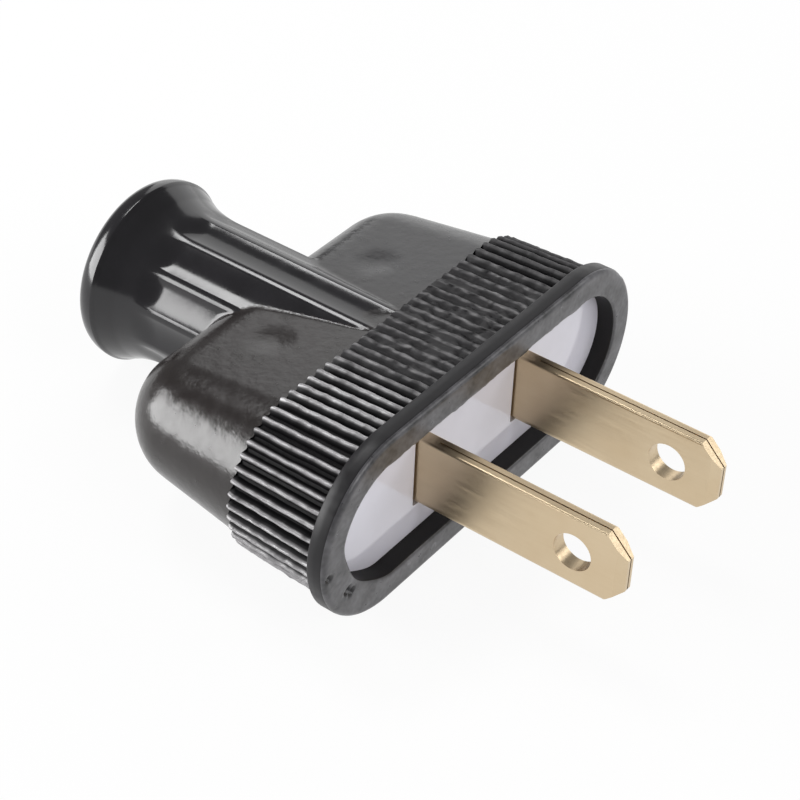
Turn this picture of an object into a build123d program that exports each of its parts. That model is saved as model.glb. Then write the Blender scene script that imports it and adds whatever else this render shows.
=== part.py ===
from build123d import *
from math import cos, pi, radians, sin, sqrt
import os

# A flat two-pin plug that is wired by hand: a soft one-piece shell, a hard insulating insert
# and two folded brass blades with their terminal screws, in millimetres.
# X points the way the plug is pushed in, Y runs across from blade to blade, and Z is up through
# the thickness, with the plug lying flat. The origin is the middle of the shell's front face.

os.makedirs("parts", exist_ok=True)

# Blades, whose reaches are measured from the front face of the shell
blade_pitch = 12.7
blade_width = 6.35
blade_rise = 0.4
leaf_thickness = 0.65
blade_reach = 16.6
blade_hole_diameter = 3.18
blade_hole_reach = 12.2
blade_corner_cut = 1.75
tip_bevel_length = 0.8
tip_bevel_depth = 0.3
fold_radius = 0.6
leaf_edge_radius = 0.2
seam_width = 0.12
seam_depth = 0.3
tail_length = 9.2
tail_height = 7.8
tail_corner_radius = 1.2

# Shell: rim, mouth, band and body are slots about the same pair of centres
slot_centres = 24.2
rim_radius = 7.75
rim_length = 1.6
rim_edge_radius = 0.45
mouth_radius = 5.4
mouth_edge_radius = 0.3

# Grip band behind the rim
rim_step = 0.55
band_end = 9.8
band_taper = 0.35
rib_pitch = 1.05
rib_height = 0.4
rib_crest_share = 0.46
rib_floor_share = 0.26

# Body with its two lobes
body_step = 0.2
body_end = 23.35
body_taper = 1.75
lobe_corner_radius = 5.2
lobe_edge_radius = 4.2
lobe_turns = (0, 20, 40, 60, 75, 90)
body_stations = 4
dimple_radius = 5.0
dimple_depth = 0.35
dimple_spread = 13.0
dimple_reach = 15.7

# Cord sleeve
sleeve_radius = 6.45
flute_count = 12
flute_depth = 0.34
flute_floor_radius = 5.0
flute_end = 29.0
flare_start = 29.9
sleeve_end = 35.2
flare_radius = 7.85
flare_throat_radius = 12.0
flare_lip_radius = 0.4
flare_lip_length = 0.9
bore_radius = 4.6
bell_start = 28.0
bell_wall = 1.3

# Insert, a flange held behind the lip of the mouth and a block between the blades' tails
recess_depth = 1.6
flange_thickness = 3.6
flange_lap = 0.5
flange_clearance = 0.05
slot_clearance = 0.2
slot_corner_radius = 0.3
block_length = 9.0
block_height = 7.8
block_corner_radius = 1.0
tail_clearance = 0.05

# Wiring space inside the shell
body_wall = 1.3
cavity_end = 19.0

# Terminal screws
terminal_reach = 10.0
screw_radius = 1.65
screw_length = 4.2
screw_head_radius = 3.0
screw_head_height = 1.8
screw_head_edge_radius = 0.5
screw_slot_width = 0.9
screw_slot_depth = 0.9
screw_clearance = 0.05
screw_hole_spare = 0.6

# Sizes that follow from the ones above
blade_thickness = 2 * leaf_thickness
band_front_radius = rim_radius - rim_step - rib_height
band_back_radius = band_front_radius - band_taper
body_front_radius = band_back_radius - body_step
flange_back = recess_depth + flange_thickness
flange_radius = mouth_radius + flange_lap
pocket_radius = flange_radius + flange_clearance
screw_hole_radius = screw_radius + screw_clearance
ribs_per_side = round(slot_centres / rib_pitch)
ribs_per_end = round(pi * band_front_radius / rib_pitch)


def rounding(distance, radius):
    """How far a rounded edge has fallen away at a distance short of its end."""
    left = max(radius - distance, 0.0)
    return radius - sqrt(radius**2 - left**2)


def body_radius(reach):
    """Half the thickness of the tapering body, before its back edge is rounded."""
    return body_front_radius - body_taper * (reach - band_end) / (body_end - band_end)


def rib_outline(floor_radius):
    """Corners of the ribbed slot outline, four to a rib, from floor to crest and down again."""
    floor = rib_floor_share / 2
    crest = (1 - rib_crest_share) / 2
    rib = ((floor, 0), (crest, rib_height), (1 - crest, rib_height), (1 - floor, 0))
    points = []
    for side in (1, -1):
        for index in range(ribs_per_side):
            for share, height in rib:
                along = (index + share) / ribs_per_side - 0.5
                points.append((side * along * slot_centres, side * (floor_radius + height)))
        for index in range(ribs_per_end):
            for share, height in rib:
                angle = pi / 2 - pi * (index + share) / ribs_per_end
                across = slot_centres / 2 + (floor_radius + height) * cos(angle)
                points.append((side * across, side * (floor_radius + height) * sin(angle)))
    return points


# Shell: sleeve with its flare, flutes, lobed body, rim and ribbed band in one moulding
with BuildPart() as shell:
    with BuildSketch(Plane.XZ) as sleeve_profile:
        with BuildLine():
            Polyline(
                (-band_end, 0),
                (-band_end, sleeve_radius),
                (-flare_start, sleeve_radius),
                (-sleeve_end + flare_lip_length, flare_radius),
                (-sleeve_end, flare_radius),
                (-sleeve_end, 0),
                close=True,
            )
        make_face()
        corner_rows = sleeve_profile.vertices().group_by(Axis.Y)
        fillet(corner_rows[1].sort_by(Axis.X)[0], flare_throat_radius)
        fillet(corner_rows[2], flare_lip_radius)
    revolve(axis=Axis.X)
    with BuildSketch(Plane.YZ.offset(-flute_end)):
        with PolarLocations(sleeve_radius - flute_depth + flute_floor_radius, flute_count):
            Circle(flute_floor_radius)
    extrude(amount=flute_end - band_end, mode=Mode.SUBTRACT)

    corner_start = body_end - lobe_corner_radius
    station_gap = (corner_start - band_end) / body_stations
    stations = [band_end + station_gap * step for step in range(body_stations)]
    stations += [corner_start + lobe_corner_radius * sin(radians(turn)) for turn in lobe_turns]
    for reach in stations:
        left = body_end - reach
        half_height = body_radius(reach) - rounding(left, lobe_edge_radius)
        half_width = slot_centres / 2 + body_radius(reach) - rounding(left, lobe_corner_radius)
        with BuildSketch(Plane.YZ.offset(-reach)):
            SlotOverall(2 * half_width, 2 * half_height)
    loft()
    for side in (1, -1):
        bottom = body_radius(dimple_reach) - dimple_depth
        with Locations((-dimple_reach, side * dimple_spread / 2, bottom + dimple_radius)):
            Sphere(dimple_radius, mode=Mode.SUBTRACT)

    with BuildSketch(Plane.YZ.offset(-rim_length)):
        SlotCenterToCenter(slot_centres, 2 * rim_radius)
    extrude(amount=rim_length)
    fillet(shell.faces().sort_by(Axis.X)[-1].outer_wire().edges(), rim_edge_radius)
    for reach, radius in ((rim_length, band_front_radius), (band_end, band_back_radius)):
        with BuildSketch(Plane.YZ.offset(-reach)):
            with BuildLine():
                Polyline(*rib_outline(radius), close=True)
            make_face()
    loft(ruled=True)

    with BuildSketch(Plane.YZ):
        SlotCenterToCenter(slot_centres, 2 * mouth_radius)
    extrude(amount=-flange_back, mode=Mode.SUBTRACT)
    fillet(shell.faces().sort_by(Axis.X)[-1].inner_wires()[0].edges(), mouth_edge_radius)
    with BuildSketch(Plane.YZ.offset(-recess_depth)):
        SlotCenterToCenter(slot_centres, 2 * pocket_radius)
    extrude(amount=-flange_thickness, mode=Mode.SUBTRACT)
    for reach in (flange_back, cavity_end):
        with BuildSketch(Plane.YZ.offset(-reach)):
            SlotCenterToCenter(slot_centres, 2 * (body_radius(reach) - body_wall))
    loft(mode=Mode.SUBTRACT)
    with BuildSketch(Plane.XZ):
        with BuildLine():
            Polyline(
                (-cavity_end, 0),
                (-cavity_end, bore_radius),
                (-bell_start, bore_radius),
                (-sleeve_end, flare_radius - bell_wall),
                (-sleeve_end, 0),
                close=True,
            )
        make_face()
    revolve(axis=Axis.X, mode=Mode.SUBTRACT)

shell.part.label = "shell"
export_step(shell.part, "parts/shell.step")

# Insert: its slots clear the blades all round, and its block is bored for the screws' ends
with BuildPart() as insert:
    with BuildSketch(Plane.YZ.offset(-recess_depth)):
        SlotCenterToCenter(slot_centres, 2 * flange_radius)
        with Locations((0, blade_rise)):
            with GridLocations(blade_pitch, 0, 2, 1):
                RectangleRounded(
                    blade_thickness + 2 * slot_clearance,
                    blade_width + 2 * slot_clearance,
                    slot_corner_radius,
                    mode=Mode.SUBTRACT,
                )
    extrude(amount=-flange_thickness)
    block_side = blade_pitch / 2 - leaf_thickness - tail_clearance
    with BuildSketch(Plane.YZ.offset(-flange_back)):
        with Locations((0, blade_rise)):
            Rectangle(2 * block_side, block_height)
    extrude(amount=-block_length)
    fillet(insert.edges().group_by(Axis.X)[0], block_corner_radius)
    hole_depth = screw_length - blade_thickness - tail_clearance + screw_hole_spare
    for side in (1, -1):
        with BuildSketch(Plane.XZ.offset(side * block_side)):
            with Locations((-terminal_reach, blade_rise)):
                Circle(screw_hole_radius)
        extrude(amount=-side * hole_depth, mode=Mode.SUBTRACT)

insert.part.label = "insert"
export_step(insert.part, "parts/insert.step")

# Blades: folded along the bottom, so that a seam runs along the top, round the tip's corners
half_blade = blade_width / 2
tail_end = flange_back + tail_length
for name, side in (("blade_left", 1), ("blade_right", -1)):
    blade_middle = (0, side * blade_pitch / 2, blade_rise)
    side_on = Plane(origin=blade_middle, x_dir=(1, 0, 0), z_dir=(0, -1, 0))
    with BuildPart() as blade:
        with BuildSketch(side_on) as outline:
            with BuildLine():
                Polyline(
                    (-tail_end, 0),
                    (-tail_end, tail_height / 2),
                    (-flange_back, tail_height / 2),
                    (-flange_back, half_blade),
                    (blade_reach - blade_corner_cut, half_blade),
                    (blade_reach, half_blade - blade_corner_cut),
                    (blade_reach, 0),
                )
                mirror(about=Plane.XZ)
            make_face()
            fillet(outline.vertices().group_by(Axis.X)[0], tail_corner_radius)
            with Locations((blade_hole_reach, 0)):
                Circle(blade_hole_diameter / 2, mode=Mode.SUBTRACT)
            with Locations((-terminal_reach, 0)):
                Circle(screw_hole_radius, mode=Mode.SUBTRACT)
        extrude(amount=leaf_thickness, both=True)
        with BuildSketch(Plane(origin=blade_middle)):
            with BuildLine():
                Polyline(
                    (-tail_end, leaf_thickness),
                    (blade_reach - tip_bevel_length, leaf_thickness),
                    (blade_reach, leaf_thickness - tip_bevel_depth),
                    (blade_reach, tip_bevel_depth - leaf_thickness),
                    (blade_reach - tip_bevel_length, -leaf_thickness),
                    (-tail_end, -leaf_thickness),
                    close=True,
                )
            make_face()
        extrude(amount=tail_height, both=True, mode=Mode.INTERSECT)
        long_edges = blade.edges().filter_by(Axis.X).group_by(Axis.Z)
        fillet(long_edges[1], fold_radius)
        long_edges = blade.edges().filter_by(Axis.X).group_by(Axis.Z)
        fillet(long_edges[-2], leaf_edge_radius)
        with BuildSketch(side_on):
            with BuildLine():
                Polyline(
                    (0, half_blade),
                    (blade_reach - blade_corner_cut, half_blade),
                    (blade_reach, half_blade - blade_corner_cut),
                    (blade_reach, blade_corner_cut - half_blade),
                )
            trace(line_width=2 * seam_depth)
        extrude(amount=seam_width / 2, both=True, mode=Mode.SUBTRACT)
    blade.part.label = name
    export_step(blade.part, f"parts/{name}.step")

# Terminal screws: cheese heads on the outer faces of the blades' tails
for name, side in (("terminal_screw_left", 1), ("terminal_screw_right", -1)):
    seat_place = (-terminal_reach, side * (blade_pitch / 2 + leaf_thickness), blade_rise)
    seat = Plane(origin=seat_place, x_dir=(1, 0, 0), z_dir=(0, side, 0))
    with BuildPart() as screw:
        with BuildSketch(seat):
            Circle(screw_head_radius)
        extrude(amount=screw_head_height)
        head_edges = screw.edges().filter_by(GeomType.CIRCLE)
        fillet(head_edges.sort_by_distance(seat_place)[-1], screw_head_edge_radius)
        with BuildSketch(seat):
            Circle(screw_radius)
        extrude(amount=-screw_length)
        with BuildSketch(seat.offset(screw_head_height)):
            Rectangle(2 * screw_head_radius, screw_slot_width)
        extrude(amount=-screw_slot_depth, mode=Mode.SUBTRACT)
    screw.part.label = name
    export_step(screw.part, f"parts/{name}.step")
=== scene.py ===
from math import acos, atan2, cos, pi, radians, sin, sqrt

import bpy
from mathutils import Matrix, Vector, noise


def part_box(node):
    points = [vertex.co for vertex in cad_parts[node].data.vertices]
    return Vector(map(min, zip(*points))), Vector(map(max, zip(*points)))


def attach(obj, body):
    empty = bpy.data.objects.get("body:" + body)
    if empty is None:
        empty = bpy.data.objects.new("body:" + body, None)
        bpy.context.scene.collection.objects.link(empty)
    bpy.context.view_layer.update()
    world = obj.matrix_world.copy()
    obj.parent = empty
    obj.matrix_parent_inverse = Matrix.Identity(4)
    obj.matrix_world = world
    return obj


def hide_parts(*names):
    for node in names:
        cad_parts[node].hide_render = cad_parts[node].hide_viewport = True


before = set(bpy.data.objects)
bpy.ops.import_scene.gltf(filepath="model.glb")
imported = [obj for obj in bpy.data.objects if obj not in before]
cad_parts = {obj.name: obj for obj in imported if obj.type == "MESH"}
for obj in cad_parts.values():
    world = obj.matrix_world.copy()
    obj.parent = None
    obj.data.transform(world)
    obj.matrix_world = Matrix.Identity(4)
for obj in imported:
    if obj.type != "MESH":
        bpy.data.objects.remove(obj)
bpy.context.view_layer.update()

# Shell: one moulding in soft black rubber, taken out of a two-part mould.
# It is the rim round the mouth, the ribbed grip band, the body with its two lobes and the fluted
# cord sleeve. The insert snaps in behind the lip of its mouth, and nothing else holds it.

# Sizes in millimetres: the solid's own, but the dimples, the flutes' ends and the sleeve's lip
# are as soft as the photograph shows them. Reach is the way back from the rim's face, across is
# to the left and height is up.
MM = 0.001
slot_centres = 24.2
rim_radius = 7.75
rim_length = 1.6
rim_edge_radius = 0.45
mouth_radius = 5.4
mouth_edge_radius = 0.3
recess_depth = 1.6
pocket_radius = 5.95
pocket_back = 5.2
band_front_radius = 6.8
band_taper = 0.35
band_end = 9.8
rib_height = 0.4
ribs_per_side = 23
ribs_per_end = 20
body_front_radius = 6.25
body_taper = 1.75
body_end = 23.35
body_wall = 1.3
lobe_corner_radius = 5.2
lobe_edge_radius = 4.2
dimple_radius = 2.4
dimple_depth = 0.16
dimple_reach = 15.7
dimple_spread = 13.0
sleeve_radius = 6.45
flute_count = 12
flute_pitch = 2 * pi / flute_count
flute_depth = 0.34
flute_floor_radius = 5.0
flute_end = 30.3
flute_run_out = 2.4
throat_start = 28.0
throat_radius = 12.0
throat_end = 31.7
flare_radius = 7.85
lip_length = 2.0
lip_step = 0.16
lip_step_run = 0.18
lip_radius = 1.1
lip_reach = 1.7
sleeve_end = 35.2
bore_radius = 4.6
bell_start = 28.0
bell_radius = 6.55
cavity_end = 19.0

# The skin is one closed mesh of rings, which follow one profile from the mouth's wall over the
# outside to the sleeve's end, and back to the mouth through the inside. Each face has a finish.
shell_points = []
shell_wear_and_shade = []
shell_faces = []
shell_finish = []
FACE, COLLAR, RIBS, LOBES, SLEEVE, INSIDE = range(6)


def add_ring(points, wear_and_shade_level=None):
    """Adds one loop of points, with how pale each is from wearing and painted shade, and gives back
    their numbers.
    """
    first = len(shell_points)
    shell_points.extend(points)
    shell_wear_and_shade.extend(wear_and_shade_level or [0.0] * len(points))
    return list(range(first, len(shell_points)))


def add_worn_and_shaded_ring(pairs):
    """Adds one loop from pairs of a point and how pale it is from wearing and painted shade."""
    return add_ring([point for point, _ in pairs], [wear_and_shade_level for _, wear_and_shade_level in pairs])


def join_rings(front, back, finish):
    """Faces between two loops of the same count, front to back along the skin."""
    for index in range(len(front)):
        after = (index + 1) % len(front)
        shell_faces.append((front[index], back[index], back[after], front[after]))
        shell_finish.append(finish)


def turn_of(index):
    """A point's turn about the sleeve's axis, from 0 at the left end to a full turn."""
    return atan2(shell_points[index][2], shell_points[index][1]) % (2 * pi)


def stitch_rings(front, back, finish):
    """Triangles between two loops of different counts, side by side in their turn."""
    turns = [[turn_of(index) for index in ring] for ring in (front, back)]
    for row in turns:
        if row[0] > pi:
            row[0] -= 2 * pi
        row.append(row[0] + 2 * pi)
    a = b = 0
    while a < len(front) or b < len(back):
        step_front = b >= len(back) or (a < len(front) and turns[0][a + 1] <= turns[1][b + 1])
        here, there = front[a % len(front)], back[b % len(back)]
        if step_front:
            a += 1
            shell_faces.append((here, there, front[a % len(front)]))
        else:
            b += 1
            shell_faces.append((here, there, back[b % len(back)]))
        shell_finish.append(finish)


def slot_ring(reach, radius, per_end=144, per_side=160):
    """A loop round a slot outline, from the left end over the top."""
    points = []
    for side in (1, -1):
        for index in range(-per_end // 2, per_end // 2):
            turn = pi * index / per_end
            across, height = slot_centres / 2 + radius * cos(turn), radius * sin(turn)
            points.append((-reach, side * across, side * height))
        for index in range(per_side):
            along = slot_centres * (0.5 - index / per_side)
            points.append((-reach, side * along, side * radius))
    start = per_end // 2
    return points[start:] + points[:start]


def arc(middle, radius, start, end, steps):
    """Points of a profile's rounded edge, as pairs of reach and radius."""
    turns = [radians(start + (end - start) * step / steps) for step in range(steps + 1)]
    return [(middle[0] + radius * cos(turn), middle[1] + radius * sin(turn)) for turn in turns]


def rounding(distance, radius):
    """How far a rounded edge has fallen away at a distance short of its end."""
    left = min(max(radius - distance, 0.0), radius)
    return radius - sqrt(radius ** 2 - left ** 2)


def smooth_step(value, low, high):
    """0 up to a low value, 1 from a high one, and a smooth rise between."""
    share = min(max((value - low) / (high - low), 0.0), 1.0)
    return share * share * (3 - 2 * share)


def wander(place, pattern):
    """Smooth noise at a place, from about -1 to 1, with a scale for each coordinate."""
    return noise.noise(Vector([value * scale for value, scale in zip(place, pattern)]))


# Mouth and rim: the wall of the recess, the rounded lip, the flat face and the rounded collar,
# which ends in a small bevel over the grip band
wall_middle = 1.1
lip_steps = 5
flat_steps = 13
edge_steps = 6
collar_middle = 0.9
bevel_length, bevel_height = 0.12, 0.08
flat_low, flat_high = mouth_radius + mouth_edge_radius, rim_radius - rim_edge_radius
rim_profile = [(recess_depth, mouth_radius), (wall_middle, mouth_radius)]
rim_profile += arc((mouth_edge_radius, flat_low), mouth_edge_radius, 270, 180, lip_steps)
for step in range(1, flat_steps):
    rim_profile.append((0, flat_low + (flat_high - flat_low) * step / flat_steps))
rim_profile += arc((rim_edge_radius, flat_high), rim_edge_radius, 180, 90, edge_steps)
wall_rings = 2 + lip_steps // 2
face_rings = len(rim_profile) - 2
rim_profile += [(collar_middle, rim_radius), (rim_length - bevel_length, rim_radius)]
rim_profile.append((rim_length, rim_radius - bevel_height))

# The face has three dents, as (across, height, radius, depth), darkened with painted shade, and
# four pale scuffs, as (across, height, radius). The mouth's wall is thicker at its lower right
# corner, and a little flash is left along the top of its lip. Wear and flash come and go in waves,
# counted per millimetre, and a cover widens the waves that leave a mark.
rim_dents = (
    (-19.25, -0.55, 0.38, 0.34),
    (-17.3, -3.4, 0.36, 0.36),
    (-16.85, -3.9, 0.36, 0.36),
)
rim_scuffs = ((-6.3, -6.5, 0.45), (-9.5, -5.9, 0.4), (-7.6, -6.9, 0.3), (9.0, 6.9, 0.3))
dent_core = 0.3
dent_back, dent_front = -0.8, -0.3
mean_wear = 0.36
broad_wear, broad_waves = 0.43, 0.6
fine_wear, fine_waves = 0.26, 3.0
scuff_core = 0.2
scuff_wear, scuff_waves, scuff_cover = 2.0, 4.0, 0.3
thick_corner = 0.6
thick_corner_turn = radians(-140)
thick_corner_aim = Vector((0, cos(thick_corner_turn), sin(thick_corner_turn)))
thick_corner_spread = (0.55, 0.97)
thick_corner_fade = 0.7
flash_height = 0.3
flash_band = 0.8
flash_back, flash_front, flash_end = -1.2, -0.2, -0.02
flash_cover, short_flash_share = 0.1, 0.25
long_flash, short_flash = (0.4, 2.0, 0.0), (2.1, 5.0, 0.0)


def radii_away(place, across, height, radius):
    """How far a point lies from the middle of a mark on the face, in the mark's radii."""
    return sqrt((place.y - across) ** 2 + (place.z - height) ** 2) / radius


def rim_point(point):
    """A point of the rim with its dents, thick corner and flash, and how pale it is from wearing,
    less painted shade in the dents.
    """
    place = Vector(point)
    painted_dent_shade = 0.0
    for across, height, radius, depth in rim_dents:
        share = 1 - smooth_step(radii_away(place, across, height, radius), dent_core, 1.0)
        share *= smooth_step(place.x, dent_back, dent_front)
        place.x -= depth * share
        painted_dent_shade = max(painted_dent_shade, share)
    outward = Vector((0, place.y + slot_centres / 2, place.z))
    if place.y < -slot_centres / 4:
        share = smooth_step(outward.normalized().dot(thick_corner_aim), *thick_corner_spread)
        fade = 1 - smooth_step(outward.length, mouth_radius, rim_radius - thick_corner_fade)
        place -= outward.normalized() * thick_corner * share * fade
    if mouth_radius - flash_band < place.z < flat_low and place.x < flash_end:
        flash = max(wander((place.y, 1, 0), long_flash) + flash_cover, 0)
        flash += short_flash_share * wander((place.y, 1, 0), short_flash)
        place.z -= flash_height * max(flash, 0) * smooth_step(place.x, flash_back, flash_front)
    wear_and_shade_level = mean_wear + broad_wear * noise.noise(place * broad_waves)
    wear_and_shade_level += fine_wear * noise.noise(place * fine_waves)
    for across, height, radius in rim_scuffs:
        share = 1 - smooth_step(radii_away(place, across, height, radius), scuff_core, 1.0)
        wear_and_shade_level += scuff_wear * share * max(noise.noise(place * scuff_waves) + scuff_cover, 0)
    # Painted shade: the dents take paleness away, so they come out darker.
    return tuple(place), min(max(wear_and_shade_level - painted_dent_shade, 0.0), 1.0)


rim_rings = []
for reach, radius in rim_profile:
    rim_rings.append(add_worn_and_shaded_ring([rim_point(point) for point in slot_ring(reach, radius)]))
for number, (front, back) in enumerate(zip(rim_rings, rim_rings[1:])):
    finish = INSIDE if number < wall_rings else FACE if number < face_rings else COLLAR
    join_rings(front, back, finish)

# Grip band: ribs with rounded crests, worn down and broken on the middle of the top. A rib's
# profile is pairs of a share of its pitch and a height, in rib heights over the band's floor.
rib_profile = (
    (0.00, -0.75), (0.12, -0.72), (0.21, -0.3), (0.30, 0.3), (0.38, 0.76), (0.44, 0.97),
    (0.50, 1.03), (0.56, 0.97), (0.62, 0.76), (0.70, 0.3), (0.79, -0.3), (0.88, -0.72),
)
band_steps = 32
crest_height, crest_raggedness = 0.94, 0.14
rib_end_start, rib_end_drop = 0.965, 0.3

# The worn stretch of the top fades in and out between these places across. There the ribs are
# mostly gone down to one level, and wholly in patches, with crumbs and rags left on them.
worn_right, worn_left = (-8, -3), (9.0, 11.5)
worn_level = 0.45
least_gone, patch_gone = 0.6, 0.36
patch_edge = (-0.12, 0.25)
crumb_height, rag_height = 0.13, 0.05

# The crests are pale, the more so where ragged, and the grooves dark, partly from wear and partly
# as painted shade. Painted shade also darkens them on the top, between these places across, and
# round the left end, between these shares of the way up from the bottom.
pale_crest = (0.15, 1.02)
rag_paleness, worn_rag_paleness, gone_paleness = 0.6, 1.2, 0.08
painted_shade_across, painted_shade_round_end = (-10, -4), (0.5, 0.75)
painted_shade_strength = 0.8

# Patterns on the ribs: waves in a millimetre of reach, waves in a rib's pitch (for the patches,
# in a millimetre across), and a number that keeps one side's pattern apart from the other's.
# Ribs stray by small shares of their pitch.
coarse_rags, fine_rags = (1.3, 1.9, 3.0), (3.3, 3.1, 7.0)
fine_rag_share = 0.6
worn_patches = (0.33, 0.42, 4.0)
patch_rag_share = 0.5
crumbs = (2.6, 4.3, 11.0)
strays, worn_strays = (0.9, 0.8, 5.0), (0.9, 0.9, 9.0)
stray, worn_stray = 0.05, 0.13


def rib_point(share_back, side, along, height):
    """A point of the band and how pale it is, from wearing and painted shade. Along is in rib
    pitches from its side's start.
    """
    reach = rim_length + (band_end - rim_length) * share_back
    on_side = along < ribs_per_side
    on_top = on_side and side > 0
    across = slot_centres * (0.5 - along / ribs_per_side)
    flat = 0.0
    if on_top:
        flat = smooth_step(across, *worn_right) * (1 - smooth_step(across, *worn_left))
    place = (reach, along, side)
    rag = wander(place, coarse_rags) + fine_rag_share * wander(place, fine_rags)
    patch = wander((reach, across, 1), worn_patches) + patch_rag_share * rag
    gone = flat * (least_gone + patch_gone * smooth_step(patch, *patch_edge))
    drift = stray * wander(place, strays)
    drift += flat * worn_stray * wander((reach, along, 1), worn_strays)
    # How much painted shade darkens the crests at this point.
    painted_shade = 0.0
    if on_side:
        across = slot_centres * (0.5 - (along + drift) / ribs_per_side)
        turn = pi / 2
        if on_top:
            painted_shade = smooth_step(across, *painted_shade_across)
    else:
        across = -slot_centres / 2
        turn = pi / 2 + pi * (along + drift - ribs_per_side) / ribs_per_end
        if side < 0:
            painted_shade_start, painted_shade_full = painted_shade_round_end
            ribs_on = along - ribs_per_side
            painted_shade = smooth_step(ribs_on, painted_shade_start * ribs_per_end, painted_shade_full * ribs_per_end)
    level = height * (crest_height - crest_raggedness * rag if height > 0 else 1.0)
    level = worn_level + (level - worn_level) * (1 - gone)
    level += flat * crumb_height * wander(place, crumbs)
    level += flat * rag_height * rag
    level -= rib_end_drop * smooth_step(share_back, rib_end_start, 1.0) * max(level, 0)
    radius = band_front_radius - band_taper * share_back + rib_height * level
    # Painted shade and wear: the crests grow pale, and the grooves stay dark as painted shade.
    pale = smooth_step(height, *pale_crest)
    pale *= 1.0 + (rag_paleness + worn_rag_paleness * flat) * rag
    # Painted shade: the crests are darkened on the top and round the lower left end.
    pale = pale * (1 - painted_shade_strength * painted_shade) + gone_paleness * gone
    point = (-reach, side * (across + radius * cos(turn)), side * radius * sin(turn))
    return point, min(max(pale, 0.0), 1.0)


def band_ring(share_back):
    """A loop over every rib, from the left end over the top."""
    pairs = []
    for side in (1, -1):
        for rib in range(ribs_per_side + ribs_per_end):
            for share, height in rib_profile:
                pairs.append(rib_point(share_back, side, rib + share, height))
    start = (2 * ribs_per_side + 3 * ribs_per_end // 2) * len(rib_profile)
    return add_worn_and_shaded_ring(pairs[start:] + pairs[:start])


band_rings = [band_ring(step / band_steps) for step in range(band_steps + 1)]
stitch_rings(rim_rings[-1], band_rings[0], COLLAR)
for front, back in zip(band_rings, band_rings[1:]):
    join_rings(front, back, RIBS)

# Body: a flattened slot that thins towards the lobes' round backs, with the sleeve's ridge
# standing out of its middle and a shallow round dimple on top of each lobe
flute_middle = sleeve_radius - flute_depth + flute_floor_radius
land_edge = acos(
    (flute_middle ** 2 + sleeve_radius ** 2 - flute_floor_radius ** 2)
    / (2 * flute_middle * sleeve_radius)
)
flute_shares = (0.08, 0.24, 0.4, 0.56, 0.72, 0.86, 0.95, 1.0)
half_flute = [share * land_edge for share in flute_shares]
sleeve_turns = []
for flute in range(flute_count):
    start = flute * flute_pitch
    sleeve_turns += [start + turn for turn in half_flute] + [start + flute_pitch / 2]
    sleeve_turns += [start + flute_pitch - turn for turn in reversed(half_flute)]
top_turns = sleeve_turns[:len(sleeve_turns) // 2]
lobe_count = 30
flat_count = 28
ridge_fillet = 0.12


def fluted_radius(turn):
    """The fluted sleeve's radius at a turn about its axis, with narrow lands between flutes."""
    offset = (turn + flute_pitch / 2) % flute_pitch - flute_pitch / 2
    floor = flute_middle * cos(offset)
    floor -= sqrt(flute_floor_radius ** 2 - (flute_middle * sin(offset)) ** 2)
    return min(floor, sleeve_radius)


def body_radius(reach):
    """Half the body's thickness, before its back edge is rounded."""
    return body_front_radius - body_taper * (reach - band_end) / (body_end - band_end)


def body_half_height(reach):
    """Half the body's thickness, with its back edge rounded."""
    return body_radius(reach) - rounding(body_end - reach, lobe_edge_radius)


def dimpled(reach, across, height):
    """A point of the body, sunk softly where a dimple lies."""
    distance = sqrt((reach - dimple_reach) ** 2 + (abs(across) - dimple_spread / 2) ** 2)
    if height > 0:
        height -= dimple_depth * cos(pi / 2 * min(distance / dimple_radius, 1.0)) ** 2
    return (-reach, across, height)


def body_ring(reach):
    """A loop round the body and its ridge, from the left end over the top."""
    half_height = body_half_height(reach)
    half_width = slot_centres / 2 + body_radius(reach)
    half_width -= rounding(body_end - reach, lobe_corner_radius)
    end = half_width - half_height
    quarter = []
    for step in range(lobe_count):
        turn = pi / 2 * step / lobe_count
        quarter.append((end + half_height * cos(turn), half_height * sin(turn)))
    for step in range(flat_count):
        share = step / flat_count
        quarter.append((end + (sleeve_radius * cos(top_turns[0]) - end) * share, half_height))
    half = list(quarter)
    for turn in top_turns:
        across, height = fluted_radius(turn) * cos(turn), fluted_radius(turn) * sin(turn)
        share = smooth_step(height - half_height, -ridge_fillet, ridge_fillet)
        flat = sleeve_radius * cos(turn)
        half.append((flat + (across - flat) * share, half_height + (height - half_height) * share))
    half += [(-across, height) for across, height in reversed(quarter[1:])]
    points = [dimpled(reach, across, height) for across, height in half]
    return points + [(-reach, -across, -height) for across, height in half]


ring_gap = 0.25
corner_gap = 0.1
corner_start = body_end - lobe_corner_radius
corner_turns = range(0, 88, 4)
body_reaches = [band_end + ring_gap * step for step in range(60)]
body_reaches = [reach for reach in body_reaches if reach < corner_start - corner_gap]
body_reaches += [corner_start + lobe_corner_radius * sin(radians(turn)) for turn in corner_turns]
body_reaches.append(body_end)
body_rings = [add_ring(body_ring(reach)) for reach in body_reaches]
stitch_rings(band_rings[-1], body_rings[0], RIBS)
ridge_reach = sleeve_radius + 0.02
for reach, front, back in zip(body_reaches, body_rings, body_rings[1:]):
    join_rings(front, back, LOBES)
    ridge_foot = body_half_height(reach) + ridge_fillet
    for index in range(len(front)):
        _, across, height = shell_points[front[index]]
        if across ** 2 + height ** 2 < ridge_reach ** 2 and abs(height) > ridge_foot:
            shell_finish[index - len(front)] = SLEEVE

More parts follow.
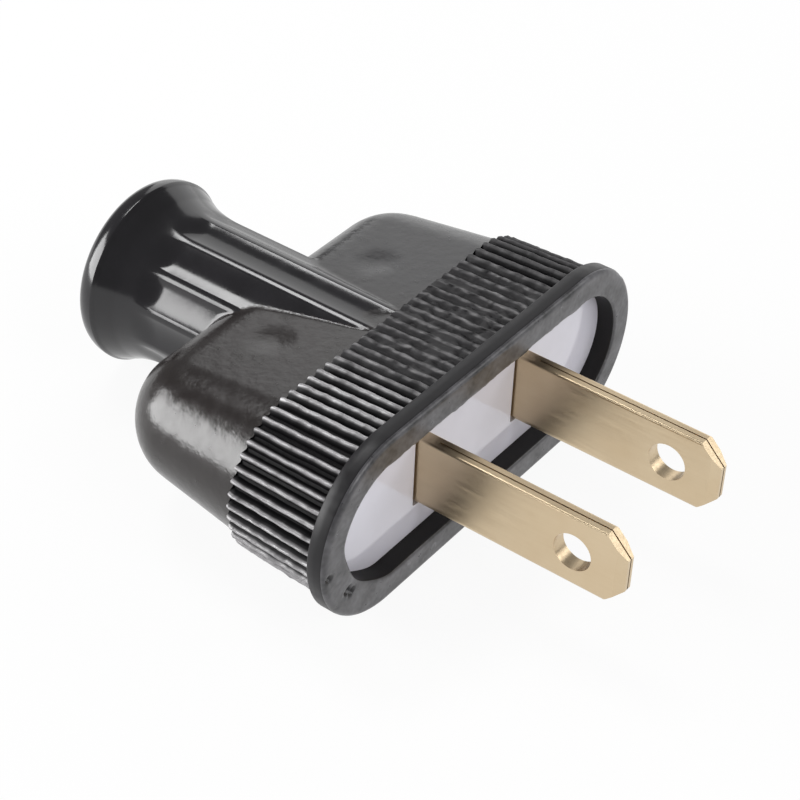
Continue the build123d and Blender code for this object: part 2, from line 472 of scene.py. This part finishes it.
# The thin edge left at the back of each lobe is closed, and the sleeve goes on from the ridge
last = body_rings[-1]
half_count = len(last) // 2
inner = lobe_count + flat_count
for turned in (0, half_count):
    for step in range(inner):
        corners = (step, -step, -step - 1, step + 1) if step else (0, -1, 1)
        shell_faces.append(tuple(last[(corner + turned) % len(last)] for corner in corners))
        shell_finish.append(LOBES)
sleeve_front = last[inner:inner + len(top_turns)]
sleeve_front += last[half_count + inner:half_count + inner + len(top_turns)]

# Sleeve: its flutes run out softly before the flare, which ends in a plain rounded lip
lip_start = sleeve_end - lip_length
flare_steps = 60
lip_turn_steps = 14
bell_edge = ((0, 0.15), (0.05, 0.04), (0.2, -0.05))


def sleeve_ring(reach, radius, fluted):
    """A loop round the sleeve. Fluted is how much of the flutes' depth is left, from 1 to 0."""
    points = []
    for turn in sleeve_turns:
        cut = (sleeve_radius - fluted_radius(turn)) * fluted
        points.append((-reach, (radius - cut) * cos(turn), (radius - cut) * sin(turn)))
    return points


def flare_outline(reach):
    """The sleeve's radius over its flutes: even, curved out at the throat, then straight."""
    risen = min(max(reach - throat_start, 0), throat_end - throat_start)
    radius = sleeve_radius + throat_radius - sqrt(throat_radius ** 2 - risen ** 2)
    if reach > throat_end:
        share = (reach - throat_end) / (lip_start - throat_end)
        radius += (flare_radius - lip_step - radius) * share
    return radius


sleeve_profile = []
for step in range(1, flare_steps + 1):
    reach = body_end + (lip_start - body_end) * step / flare_steps
    fluted = 1 - smooth_step(reach, flute_end - flute_run_out, flute_end)
    sleeve_profile.append((reach, flare_outline(reach), fluted))
sleeve_profile.append((lip_start + lip_step_run, flare_radius, 0))
for along, up in arc((0, 0), 1, 90, 0, lip_turn_steps):
    reach = sleeve_end - lip_reach * (1 - along)
    sleeve_profile.append((reach, flare_radius - lip_radius * (1 - up), 0))
for short, wide in bell_edge:
    sleeve_profile.append((sleeve_end - short, bell_radius + wide, 0))
sleeve_rings = [sleeve_front]
sleeve_rings += [add_ring(sleeve_ring(*row)) for row in sleeve_profile]
for front, back in zip(sleeve_rings, sleeve_rings[1:]):
    join_rings(front, back, SLEEVE)

# Inside: the bell and bore for the cord, the wiring space and the pocket behind the mouth's lip
bell_middle = (31.6, 5.58)
bore_middle = 23.5
cavity_back_slope = 0.4
bore_rings = [sleeve_rings[-1], add_ring(sleeve_ring(*bell_middle, 0))]
for reach in (bell_start, bore_middle, cavity_end):
    bore_rings.append(add_ring(sleeve_ring(reach, bore_radius, 0)))
for front, back in zip(bore_rings, bore_rings[1:]):
    join_rings(front, back, INSIDE)
cavity_rings = [
    add_ring(slot_ring(cavity_end - cavity_back_slope, body_radius(cavity_end) - body_wall)),
    add_ring(slot_ring(pocket_back, body_radius(pocket_back) - body_wall)),
    add_ring(slot_ring(pocket_back, pocket_radius)),
    add_ring(slot_ring(recess_depth, pocket_radius)),
    rim_rings[0],
]
stitch_rings(bore_rings[-1], cavity_rings[0], INSIDE)
for front, back in zip(cavity_rings, cavity_rings[1:]):
    join_rings(front, back, INSIDE)

sharp_edge = radians(42)
shell_mesh = bpy.data.meshes.new("shell_moulding")
shell_mesh.from_pydata(
    [[value * MM for value in point] for point in shell_points], [], shell_faces
)
shell_mesh.polygons.foreach_set("material_index", shell_finish)
shell_mesh.polygons.foreach_set("use_smooth", [True] * len(shell_faces))
shell_mesh.set_sharp_from_angle(angle=sharp_edge)
# This attribute holds how pale each point is: wear on the face and crests, less painted shade in
# the rim's dents and on the ribs' grooves, top and left end.
shell_mesh.attributes.new("wear_and_shade", "FLOAT", "POINT").data.foreach_set("value", shell_wear_and_shade)
shell_mesh.update()
shell = bpy.data.objects.new("shell_moulding", shell_mesh)
bpy.context.scene.collection.objects.link(shell)


def linear(hex_colour):
    """An sRGB hex colour as the linear colour that a shader takes."""
    colour = []
    for start in (1, 3, 5):
        value = int(hex_colour[start:start + 2], 16) / 255
        colour.append(value / 12.92 if value <= 0.04045 else ((value + 0.055) / 1.055) ** 2.4)
    return colour + [1.0]


def add_node(tree, kind, links=None, inputs=None, **settings):
    """Adds a node, with its settings, the values of its sockets and the sockets that feed it."""
    made = tree.nodes.new(kind)
    for name, value in settings.items():
        setattr(made, name, value)
    for socket, value in (inputs or {}).items():
        made.inputs[socket].default_value = value
    for socket, source in (links or {}).items():
        tree.links.new(source, made.inputs[socket])
    return made


def new_material(name):
    """An empty material, with the tree of its nodes."""
    material = bpy.data.materials.new(name)
    material.use_nodes = True
    material.node_tree.nodes.clear()
    return material, material.node_tree


# Thermoplastic rubber as it comes from a spark-eroded mould: near-black with a broad satin sheen,
# mottled like fine leather, and a little browner on the near lobe. The real grain is some 0.2 mm
# wide, too fine to show, so it is drawn at about 0.8 mm.
mottles_per_mm = 1.2
mottle_depth = 0.07
brown_right, brown_left = -4, 6
satin_rubber, tree = new_material("satin_moulded_rubber")
place = add_node(tree, "ShaderNodeTexCoord").outputs["Object"]
mottle = add_node(
    tree, "ShaderNodeTexNoise", {"Vector": place},
    {"Scale": mottles_per_mm / MM, "Detail": 4.0, "Roughness": 0.6},
)
apart = add_node(tree, "ShaderNodeSeparateXYZ", {"Vector": place})
browned = add_node(
    tree, "ShaderNodeMapRange", {"Value": apart.outputs["Y"]},
    {"From Min": brown_right * MM, "From Max": brown_left * MM, "To Min": 1.0, "To Max": 0.0},
)
tint = add_node(
    tree, "ShaderNodeMix", {"Factor": browned.outputs["Result"]},
    {"A": linear("#232224"), "B": linear("#221e1d")}, data_type="RGBA",
)
gloss = add_node(
    tree, "ShaderNodeMapRange", {"Value": mottle.outputs["Fac"]},
    {"From Min": 0.3, "From Max": 0.7, "To Min": 0.17, "To Max": 0.28},
)
skin = add_node(
    tree, "ShaderNodeBump", {"Height": mottle.outputs["Fac"]},
    {"Strength": 0.5, "Distance": mottle_depth * MM},
)
shader = add_node(
    tree, "ShaderNodeBsdfPrincipled",
    {
        "Base Color": tint.outputs["Result"], "Roughness": gloss.outputs["Result"],
        "Normal": skin.outputs["Normal"],
    },
    {"IOR": 1.52},
)
add_node(tree, "ShaderNodeOutputMaterial", {"Surface": shader.outputs["BSDF"]})

# The same rubber on the flat front, where it rubs on the socket: greyed in soft patches, with pale
# scuffs, and darker in its dents as painted shade. The rubbing's real scratches are too fine to
# show, so its grain is 0.7 mm wide.
rubs_per_mm = 1.4
rub_depth = 0.04
rubbed_and_dent_shaded_rubber, tree = new_material("rubbed_moulded_rubber_with_shaded_dents")
place = add_node(tree, "ShaderNodeTexCoord").outputs["Object"]
dust = add_node(
    tree, "ShaderNodeTexNoise", {"Vector": place},
    {"Scale": rubs_per_mm / MM, "Detail": 5.0, "Roughness": 0.65},
)
wear_and_shade = add_node(tree, "ShaderNodeAttribute", attribute_name="wear_and_shade")
tint = add_node(
    tree, "ShaderNodeMix", {"Factor": wear_and_shade.outputs["Fac"]},
    {"A": linear("#1c1b1d"), "B": linear("#6f6e72")}, data_type="RGBA",
)
gloss = add_node(
    tree, "ShaderNodeMapRange", {"Value": dust.outputs["Fac"]},
    {"From Min": 0.3, "From Max": 0.7, "To Min": 0.26, "To Max": 0.4},
)
skin = add_node(
    tree, "ShaderNodeBump", {"Height": dust.outputs["Fac"]},
    {"Strength": 0.2, "Distance": rub_depth * MM},
)
shader = add_node(
    tree, "ShaderNodeBsdfPrincipled",
    {
        "Base Color": tint.outputs["Result"], "Roughness": gloss.outputs["Result"],
        "Normal": skin.outputs["Normal"],
    },
    {"IOR": 1.55},
)
add_node(tree, "ShaderNodeOutputMaterial", {"Surface": shader.outputs["BSDF"]})

# The walls inside are cast against a rough core: dull black, with hardly any sheen. The core's
# grit is too fine to show, so it is drawn at about 0.8 mm.
grits_per_mm = 1.3
dull_rubber, tree = new_material("dull_cast_rubber")
place = add_node(tree, "ShaderNodeTexCoord").outputs["Object"]
dust = add_node(
    tree, "ShaderNodeTexNoise", {"Vector": place},
    {"Scale": grits_per_mm / MM, "Detail": 4.0, "Roughness": 0.6},
)
tint = add_node(
    tree, "ShaderNodeMix", {"Factor": dust.outputs["Fac"]},
    {"A": linear("#121112"), "B": linear("#1b1a1c")}, data_type="RGBA",
)
shader = add_node(
    tree, "ShaderNodeBsdfPrincipled", {"Base Color": tint.outputs["Result"]},
    {"Roughness": 0.62, "IOR": 1.4},
)
add_node(tree, "ShaderNodeOutputMaterial", {"Surface": shader.outputs["BSDF"]})

# The collar round the rim keeps its first black and reflects softly and weakly, because the
# mould is matt there. Its grain is drawn at about 0.9 mm, coarser than the real one.
collar_grains_per_mm = 1.1
black_rubber, tree = new_material("black_moulded_rubber")
place = add_node(tree, "ShaderNodeTexCoord").outputs["Object"]
dust = add_node(
    tree, "ShaderNodeTexNoise", {"Vector": place},
    {"Scale": collar_grains_per_mm / MM, "Detail": 4.0, "Roughness": 0.6},
)
tint = add_node(
    tree, "ShaderNodeMix", {"Factor": dust.outputs["Fac"]},
    {"A": linear("#171618"), "B": linear("#222123")}, data_type="RGBA",
)
gloss = add_node(
    tree, "ShaderNodeMapRange", {"Value": dust.outputs["Fac"]},
    {"From Min": 0.3, "From Max": 0.7, "To Min": 0.34, "To Max": 0.48},
)
shader = add_node(
    tree, "ShaderNodeBsdfPrincipled",
    {"Base Color": tint.outputs["Result"], "Roughness": gloss.outputs["Result"]},
    {"IOR": 1.34},
)
add_node(tree, "ShaderNodeOutputMaterial", {"Surface": shader.outputs["BSDF"]})

# The ribs: black and without sheen in their grooves, where the black is partly painted shade, and
# greyed and smoother along their crests, where hands wear them. Painted shade also darkens them
# on the top and round the left end. The worn skin's grain is drawn at about 0.6 mm, coarser than
# it is.
rib_grains_per_mm = 1.8
rib_grain_depth = 0.06
ribbed_rubber, tree = new_material("worn_ribbed_rubber_with_painted_shade")
place = add_node(tree, "ShaderNodeTexCoord").outputs["Object"]
grain = add_node(
    tree, "ShaderNodeTexNoise", {"Vector": place},
    {"Scale": rib_grains_per_mm / MM, "Detail": 4.0, "Roughness": 0.7},
)
wear_and_shade = add_node(tree, "ShaderNodeAttribute", attribute_name="wear_and_shade")
tint = add_node(
    tree, "ShaderNodeMix", {"Factor": wear_and_shade.outputs["Fac"]},
    {"A": linear("#0e0d0f"), "B": linear("#8d8b8d")}, data_type="RGBA",
)
gloss = add_node(
    tree, "ShaderNodeMapRange", {"Value": wear_and_shade.outputs["Fac"]},
    {"From Min": 0.15, "From Max": 0.9, "To Min": 0.5, "To Max": 0.25},
)
sheen = add_node(
    tree, "ShaderNodeMapRange", {"Value": wear_and_shade.outputs["Fac"]},
    {"From Min": 0.0, "From Max": 0.8, "To Min": 0.12, "To Max": 0.85},
)
skin = add_node(
    tree, "ShaderNodeBump", {"Height": grain.outputs["Fac"]},
    {"Strength": 0.5, "Distance": rib_grain_depth * MM},
)
shader = add_node(
    tree, "ShaderNodeBsdfPrincipled",
    {
        "Base Color": tint.outputs["Result"], "Roughness": gloss.outputs["Result"],
        "Specular IOR Level": sheen.outputs["Result"], "Normal": skin.outputs["Normal"],
    },
    {"IOR": 1.5},
)
add_node(tree, "ShaderNodeOutputMaterial", {"Surface": shader.outputs["BSDF"]})

# The sleeve comes from a polished part of the mould: the same rubber, with sharp glossy
# highlights and faint ripples some 2.4 mm long, left by the rubber's flow
ripples_per_mm = 0.42
ripple_depth = 0.1
gloss_rubber, tree = new_material("glossy_moulded_rubber")
place = add_node(tree, "ShaderNodeTexCoord").outputs["Object"]
ripple = add_node(
    tree, "ShaderNodeTexNoise", {"Vector": place}, {"Scale": ripples_per_mm / MM, "Detail": 3.0},
)
tint = add_node(
    tree, "ShaderNodeMix", {"Factor": ripple.outputs["Fac"]},
    {"A": linear("#171618"), "B": linear("#201f22")}, data_type="RGBA",
)
gloss = add_node(
    tree, "ShaderNodeMapRange", {"Value": ripple.outputs["Fac"]},
    {"From Min": 0.3, "From Max": 0.7, "To Min": 0.11, "To Max": 0.18},
)
skin = add_node(
    tree, "ShaderNodeBump", {"Height": ripple.outputs["Fac"]},
    {"Strength": 0.12, "Distance": ripple_depth * MM},
)
shader = add_node(
    tree, "ShaderNodeBsdfPrincipled",
    {
        "Base Color": tint.outputs["Result"], "Roughness": gloss.outputs["Result"],
        "Normal": skin.outputs["Normal"],
    },
    {"IOR": 1.52},
)
add_node(tree, "ShaderNodeOutputMaterial", {"Surface": shader.outputs["BSDF"]})

# The materials go on in the order of the finishes
for material in (rubbed_and_dent_shaded_rubber, black_rubber, ribbed_rubber):
    shell_mesh.materials.append(material)
for material in (satin_rubber, gloss_rubber, dull_rubber):
    shell_mesh.materials.append(material)
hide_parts("shell")
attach(shell, "root")


# Insert: one hard white moulding in urea plastic, pushed in through the mouth until its flange
# snaps behind the lip. It keeps the blades apart, and its face lies sunk in the recess.

# Urea plastic from a polished mould: a cool white that is clear and glossy, like porcelain, with
# clouds in the white some 4 mm wide
clouds_per_mm = 0.26
white_plastic, tree = new_material("glossy_white_urea_moulding")
place = add_node(tree, "ShaderNodeTexCoord").outputs["Object"]
cloud = add_node(
    tree, "ShaderNodeTexNoise", {"Vector": place}, {"Scale": clouds_per_mm / MM, "Detail": 3.0},
)
tint = add_node(
    tree, "ShaderNodeMix", {"Factor": cloud.outputs["Fac"]},
    {"A": linear("#dddce7"), "B": linear("#e9e8f3")}, data_type="RGBA",
)
gloss = add_node(
    tree, "ShaderNodeMapRange", {"Value": cloud.outputs["Fac"]},
    {"From Min": 0.3, "From Max": 0.7, "To Min": 0.06, "To Max": 0.11},
)
shader = add_node(
    tree, "ShaderNodeBsdfPrincipled",
    {"Base Color": tint.outputs["Result"], "Roughness": gloss.outputs["Result"]},
    {"IOR": 1.55},
)
add_node(tree, "ShaderNodeOutputMaterial", {"Surface": shader.outputs["BSDF"]})
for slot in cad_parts["insert"].material_slots:
    slot.material = white_plastic


# Blades: pale brass strip folded double along the bottom, pierced, and cropped at the tip's
# corners. Each is pushed through its slot of the insert from behind, up to its wider tail.

# Rolled brass: pale and softly shining, with fine lines along the strip that draw its highlights
# out, and faint stains some 4 mm wide. Real rolling lines are 0.02 mm apart, too fine to show,
# so they are drawn 0.2 mm apart, and some 3 mm long.
lines_per_mm = 5.2
line_stretch = 0.06
line_depth = 0.02
stains_per_mm = 0.26
pale_brass, tree = new_material("rolled_pale_brass")
place = add_node(tree, "ShaderNodeTexCoord").outputs["Object"]
stretched = add_node(
    tree, "ShaderNodeMapping", {"Vector": place}, {"Scale": (line_stretch, 1.0, 1.0)},
)
lines = add_node(
    tree, "ShaderNodeTexNoise", {"Vector": stretched.outputs["Vector"]},
    {"Scale": lines_per_mm / MM, "Detail": 3.0, "Roughness": 0.6},
)
stain = add_node(
    tree, "ShaderNodeTexNoise", {"Vector": place}, {"Scale": stains_per_mm / MM, "Detail": 3.0},
)
tint = add_node(
    tree, "ShaderNodeMix", {"Factor": stain.outputs["Fac"]},
    {"A": linear("#dac8aa"), "B": linear("#ccb695")}, data_type="RGBA",
)
gloss = add_node(
    tree, "ShaderNodeMapRange", {"Value": lines.outputs["Fac"]},
    {"From Min": 0.3, "From Max": 0.7, "To Min": 0.28, "To Max": 0.42},
)
skin = add_node(
    tree, "ShaderNodeBump", {"Height": lines.outputs["Fac"]},
    {"Strength": 0.2, "Distance": line_depth * MM},
)
shader = add_node(
    tree, "ShaderNodeBsdfPrincipled",
    {
        "Base Color": tint.outputs["Result"], "Roughness": gloss.outputs["Result"],
        "Normal": skin.outputs["Normal"],
    },
    {"Metallic": 1.0},
)
add_node(tree, "ShaderNodeOutputMaterial", {"Surface": shader.outputs["BSDF"]})
for name in ("blade_left", "blade_right"):
    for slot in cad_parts[name].material_slots:
        slot.material = pale_brass


# Terminal screws: two small screws turned from yellow brass, one driven through the threaded
# hole in each blade's tail. They are inside the shell and clamp the wires.

# Turned brass: brighter and yellower than the blades, with the tool's marks drawn 0.4 mm wide,
# as coarse as they need to show
tool_marks_per_mm = 2.6
turned_brass, tree = new_material("turned_brass")
place = add_node(tree, "ShaderNodeTexCoord").outputs["Object"]
lines = add_node(
    tree, "ShaderNodeTexNoise", {"Vector": place}, {"Scale": tool_marks_per_mm / MM, "Detail": 3.0},
)
tint = add_node(
    tree, "ShaderNodeMix", {"Factor": lines.outputs["Fac"]},
    {"A": linear("#d9c079"), "B": linear("#c4a658")}, data_type="RGBA",
)
gloss = add_node(
    tree, "ShaderNodeMapRange", {"Value": lines.outputs["Fac"]},
    {"From Min": 0.3, "From Max": 0.7, "To Min": 0.2, "To Max": 0.34},
)
shader = add_node(
    tree, "ShaderNodeBsdfPrincipled",
    {"Base Color": tint.outputs["Result"], "Roughness": gloss.outputs["Result"]},
    {"Metallic": 1.0},
)
add_node(tree, "ShaderNodeOutputMaterial", {"Surface": shader.outputs["BSDF"]})
for name in ("terminal_screw_left", "terminal_screw_right"):
    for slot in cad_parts[name].material_slots:
        slot.material = turned_brass


# Floor: one pale sheet under the plug. To the camera and in reflections it is nearly all white,
# and the rest is matt paper that takes the plug's faint shadow.
floor_half = 3.0
white_share = 0.92
corner_signs = ((-1, -1), (1, -1), (1, 1), (-1, 1))
floor_corners = [(x * floor_half, y * floor_half, 0) for x, y in corner_signs]
floor_mesh = bpy.data.meshes.new("floor")
floor_mesh.from_pydata(floor_corners, [], [(0, 1, 2, 3)])
floor = bpy.data.objects.new("floor", floor_mesh)
floor.location.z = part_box("shell")[0].z
bpy.context.scene.collection.objects.link(floor)
pale_floor, tree = new_material("pale_floor")
seen = add_node(tree, "ShaderNodeLightPath")
shown = add_node(
    tree, "ShaderNodeMath",
    {0: seen.outputs["Is Camera Ray"], 1: seen.outputs["Is Glossy Ray"]}, operation="MAXIMUM",
)
shown = add_node(
    tree, "ShaderNodeMath",
    {0: shown.outputs["Value"], 1: seen.outputs["Is Transmission Ray"]}, operation="MAXIMUM",
)
share = add_node(
    tree, "ShaderNodeMath", {0: shown.outputs["Value"]}, {1: white_share}, operation="MULTIPLY",
)
paper = add_node(tree, "ShaderNodeBsdfDiffuse", inputs={"Color": linear("#f2f2f2")})
white = add_node(tree, "ShaderNodeEmission", inputs={"Color": (1, 1, 1, 1), "Strength": 1.0})
mixed = add_node(
    tree, "ShaderNodeMixShader",
    {0: share.outputs["Value"], 1: paper.outputs["BSDF"], 2: white.outputs["Emission"]},
)
add_node(tree, "ShaderNodeOutputMaterial", {"Surface": mixed.outputs["Shader"]})
floor_mesh.materials.append(pale_floor)


# Light: five soft panels in a pale room, all at a plain level. The overhead one gives the lobes'
# tops their sheen, the front left one the bright patch on the near lobe and the lines along the
# flutes, the back one the edge of the far lobe and ridge, and the two on the right the blades,
# their tips and the rim. Places and sizes are in millimetres.
def soft_panel(name, place, size, power):
    """A rectangular soft panel that faces the plug."""
    lamp = bpy.data.lights.new(name, "AREA")
    lamp.shape = "RECTANGLE"
    lamp.size, lamp.size_y = size[0] * MM, size[1] * MM
    lamp.energy = power
    panel = bpy.data.objects.new(name, lamp)
    panel.location = Vector(place) * MM
    panel.rotation_euler = (-panel.location).to_track_quat("-Z", "Y").to_euler()
    bpy.context.scene.collection.objects.link(panel)


soft_panel("overhead_panel", (-235, 62, 390), (165, 100), 0.58)
soft_panel("front_left_panel", (-347, -262, 118), (310, 270), 2.5)
soft_panel("back_panel", (-170, 390, 150), (430, 320), 0.5)
soft_panel("right_fill_panel", (380, -60, 300), (260, 260), 0.72)
soft_panel("right_back_panel", (285, 285, 205), (250, 200), 0.35)

room_strength = 0.22
world = bpy.data.worlds.new("pale_room")
bpy.context.scene.world = world
world.use_nodes = True
tree = world.node_tree
tree.nodes.clear()
seen = add_node(tree, "ShaderNodeLightPath")
strength = add_node(
    tree, "ShaderNodeMapRange", {"Value": seen.outputs["Is Camera Ray"]},
    {"To Min": room_strength, "To Max": 1.0},
)
room = add_node(
    tree, "ShaderNodeBackground", {"Strength": strength.outputs["Result"]},
    {"Color": (1, 1, 1, 1)},
)
add_node(tree, "ShaderNodeOutputWorld", {"Surface": room.outputs["Background"]})


# Camera: where the photograph was taken from, solved on the blades' corners and holes and on
# the outline of the whole plug
camera_place = Vector((70.068, -110.283, 108.534)) * MM
camera_right = Vector((0.79812, 0.60149, 0.03484))
camera_ahead = Vector((-0.45069, 0.63441, -0.62801))
camera_up = camera_right.cross(camera_ahead)
focal_pixels = 2253.4
image_pixels = 800
sensor_width = 36.0
lens = bpy.data.cameras.new("camera")
lens.sensor_width = sensor_width
lens.lens = focal_pixels / image_pixels * sensor_width
lens.clip_start = MM
camera = bpy.data.objects.new("camera", lens)
camera_turn = Matrix((camera_right, camera_up, -camera_ahead)).transposed()
camera.matrix_world = Matrix.Translation(camera_place) @ camera_turn.to_4x4()
bpy.context.scene.collection.objects.link(camera)
bpy.context.scene.camera = camera

bpy.context.scene.view_settings.view_transform = "Standard"
